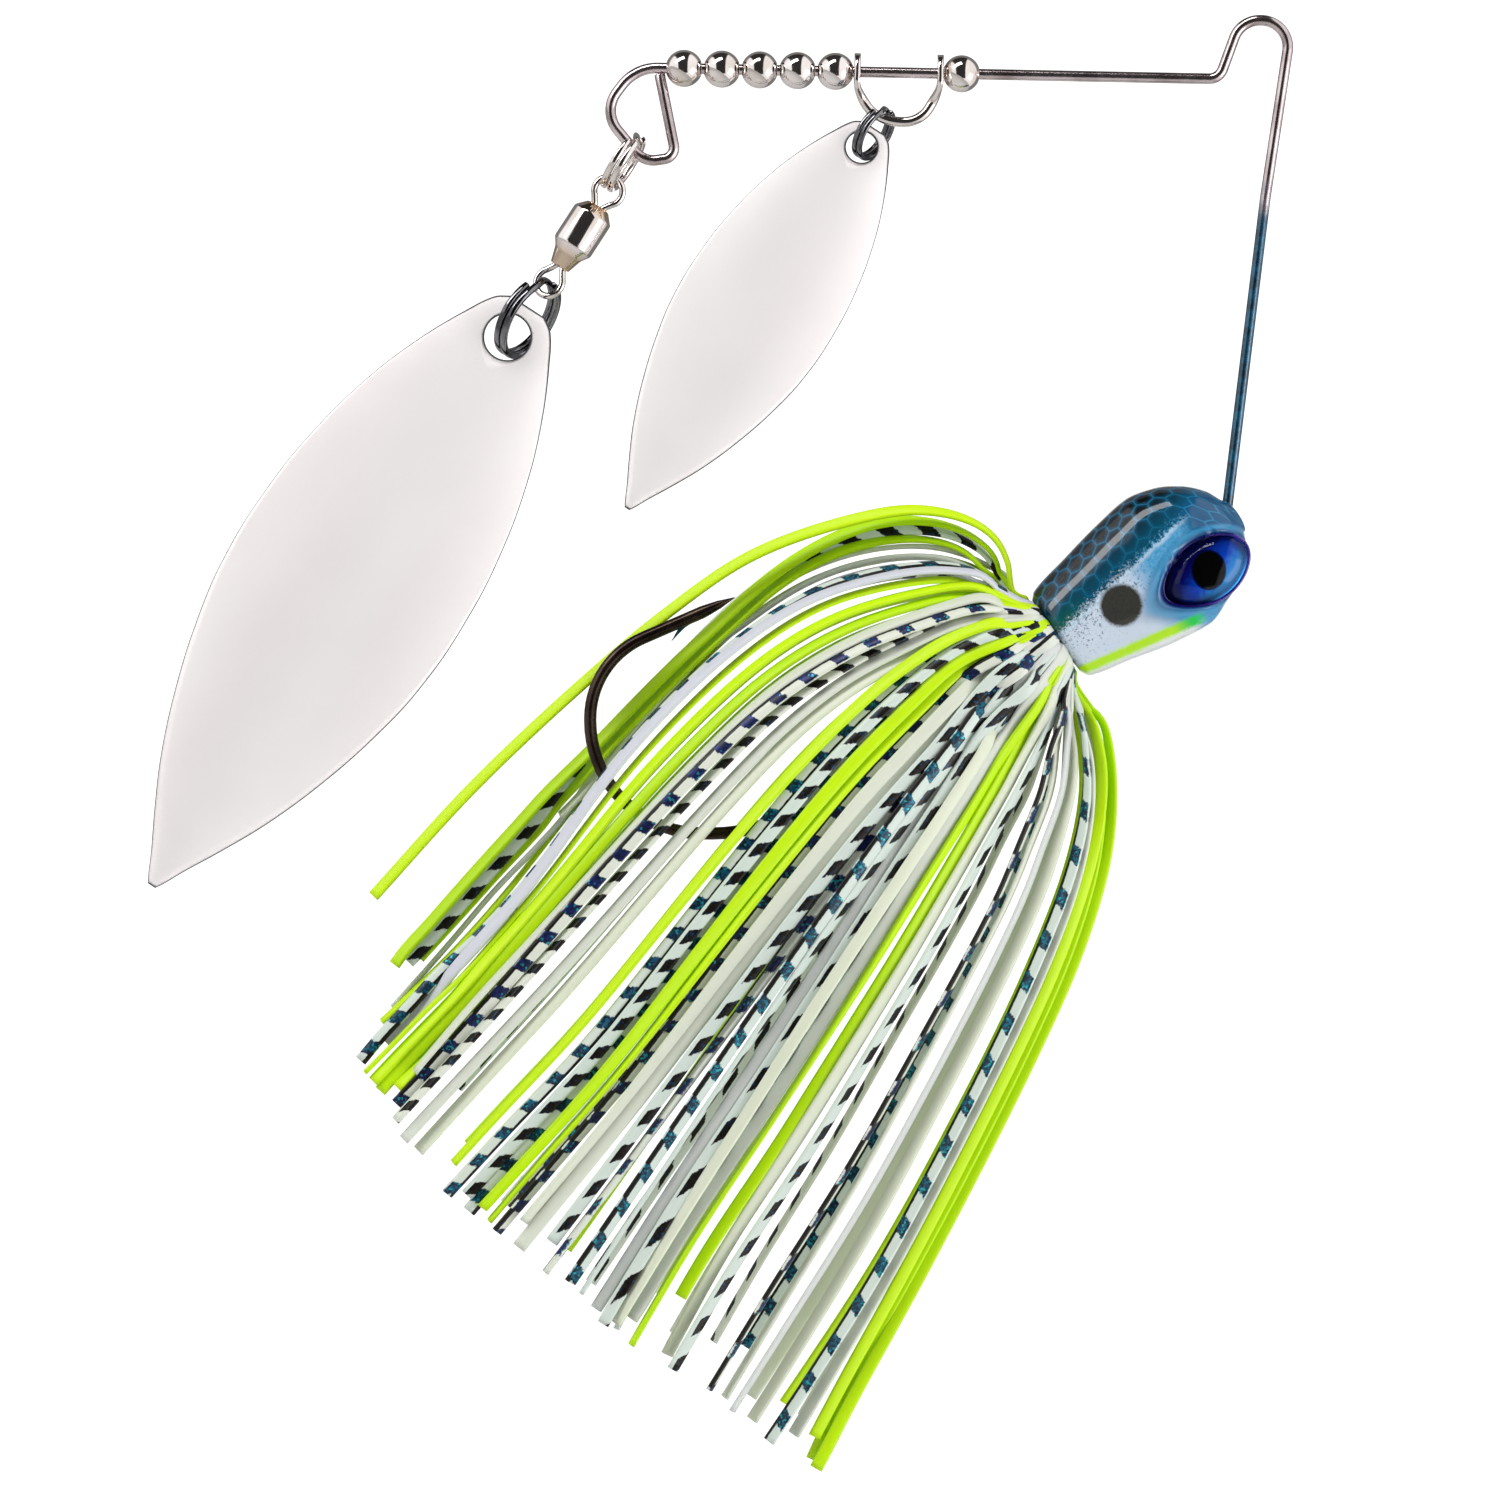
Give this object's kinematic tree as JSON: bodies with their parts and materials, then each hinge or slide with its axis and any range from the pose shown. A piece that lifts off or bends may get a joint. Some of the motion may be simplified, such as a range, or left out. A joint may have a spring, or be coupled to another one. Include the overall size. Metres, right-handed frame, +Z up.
{
  "type": "spinnerbait",
  "caption": "Tandem willow-blade spinnerbait: bent wire arm with beads and clevis, ball swivel, painted minnow head, hook and a banded silicone skirt.",
  "frame": {"origin": "inside of the bend at the line tie, where the fishing line pulls; the lure hangs from it", "axes": "+Z up as the lure hangs, +X from the blades towards the head, and Y across the lure, whose wire and hook lie in the plane Y = 0; the lure's right side faces -Y"},
  "size_m": [0.0807, 0.0168, 0.1199],
  "materials": {
    "wire_steel": "satin",
    "bright_nickel": "polished",
    "dark_chrome": "polished",
    "blade_silver": "satin",
    "ball_steel": "polished",
    "head_paint": "gloss",
    "hook_dark": "satin",
    "eye_foil": "gloss",
    "eye_lens": "gloss",
    "band_black": "matte",
    "strand_chartreuse": "satin",
    "strand_pearl": "satin",
    "strand_printed": "satin"
  },
  "bodies": {
    "root": {"wire_frame": "wire_steel", "hook": "hook_dark", "head": "head_paint", "eye_foil_left": "eye_foil", "eye_foil_right": "eye_foil", "eye_lens_left": "eye_lens", "eye_lens_right": "eye_lens", "skirt_collar": "band_black", "skirt_front_ends": "strand_chartreuse", "skirt_tuft_crest_far": "strand_chartreuse", "skirt_tuft_crest_near": "strand_chartreuse", "skirt_tuft_upper_near": "strand_printed", "skirt_tuft_upper_far": "strand_pearl", "skirt_tuft_side_near": "strand_chartreuse", "skirt_tuft_side_far": "strand_printed", "skirt_tuft_lower_near": "strand_printed", "skirt_tuft_lower_far": "strand_chartreuse", "skirt_tuft_belly_near": "strand_pearl", "skirt_tuft_belly_far": "strand_pearl", "skirt_tuft_throat_near": "strand_chartreuse", "skirt_tuft_throat_far": "strand_printed"},
    "bead_1": {"bead_1": "bright_nickel"},
    "bead_2": {"bead_2": "bright_nickel"},
    "bead_3": {"bead_3": "bright_nickel"},
    "bead_4": {"bead_4": "bright_nickel"},
    "bead_5": {"bead_5": "bright_nickel"},
    "front_bead": {"front_bead": "bright_nickel"},
    "clevis": {"clevis": "bright_nickel"},
    "small_split_ring": {"small_split_ring": "dark_chrome"},
    "small_blade": {"small_blade": "blade_silver"},
    "loop_split_ring": {"loop_split_ring": "bright_nickel"},
    "swivel_barrel": {"swivel_shell": "bright_nickel", "swivel_upper_eye": "bright_nickel", "swivel_ball_1": "ball_steel", "swivel_ball_2": "ball_steel", "swivel_ball_3": "ball_steel", "swivel_ball_4": "ball_steel", "swivel_ball_5": "ball_steel"},
    "swivel_shaft": {"swivel_shaft": "bright_nickel"},
    "large_split_ring": {"large_split_ring": "dark_chrome"},
    "large_blade": {"large_blade": "blade_silver"}
  },
  "joints": [
    {"name": "bead_1_spin", "type": "hinge", "parent": "root", "child": "bead_1", "pos_m": [-0.03778, 0, -0.02867], "axis": [0.8491, 0, 0.5282], "continuous": true},
    {"name": "bead_2_spin", "type": "hinge", "parent": "root", "child": "bead_2", "pos_m": [-0.03514, 0, -0.02704], "axis": [0.8491, 0, 0.5282], "continuous": true},
    {"name": "bead_3_spin", "type": "hinge", "parent": "root", "child": "bead_3", "pos_m": [-0.03251, 0, -0.0254], "axis": [0.8491, 0, 0.5282], "continuous": true},
    {"name": "bead_4_spin", "type": "hinge", "parent": "root", "child": "bead_4", "pos_m": [-0.02988, 0, -0.02376], "axis": [0.8491, 0, 0.5282], "continuous": true},
    {"name": "bead_5_spin", "type": "hinge", "parent": "root", "child": "bead_5", "pos_m": [-0.02725, 0, -0.02212], "axis": [0.8491, 0, 0.5282], "continuous": true},
    {"name": "front_bead_slide", "type": "slide", "parent": "root", "child": "front_bead", "axis": [0.8491, 0, 0.5282], "range_m": [0, 0.015]},
    {"name": "clevis_spin", "type": "hinge", "parent": "front_bead", "child": "clevis", "pos_m": [-0.02283, 0, -0.01938], "axis": [0.8491, 0, 0.5282], "continuous": true},
    {"name": "small_ring_swing", "type": "hinge", "parent": "clevis", "child": "small_split_ring", "pos_m": [-0.02185, 0, -0.0233], "axis": [1, 0, 0], "range_deg": [-45, 45]},
    {"name": "small_blade_swing", "type": "hinge", "parent": "small_split_ring", "child": "small_blade", "pos_m": [-0.02185, 0, -0.02682], "axis": [0, 1, 0], "range_deg": [-12, 12]},
    {"name": "loop_ring_swing", "type": "hinge", "parent": "root", "child": "loop_split_ring", "pos_m": [-0.0378, 0, -0.03627], "axis": [1, 0, 0], "range_deg": [-60, 60]},
    {"name": "swivel_swing", "type": "hinge", "parent": "loop_split_ring", "child": "swivel_barrel", "pos_m": [-0.03775, 0, -0.04026], "axis": [0, 1, 0], "range_deg": [-8, 45]},
    {"name": "swivel_spin", "type": "hinge", "parent": "swivel_barrel", "child": "swivel_shaft", "pos_m": [-0.0375, 0, -0.045], "axis": [0, 0, 1], "continuous": true},
    {"name": "large_ring_swing", "type": "hinge", "parent": "swivel_shaft", "child": "large_split_ring", "pos_m": [-0.0375, 0, -0.0499], "axis": [0.9135, -0.4067, 0], "range_deg": [-30, 30]},
    {"name": "large_blade_swing", "type": "hinge", "parent": "large_split_ring", "child": "large_blade", "pos_m": [-0.0374, 0, -0.05615], "axis": [0, 1, 0], "range_deg": [-10, 30]}
  ]
}
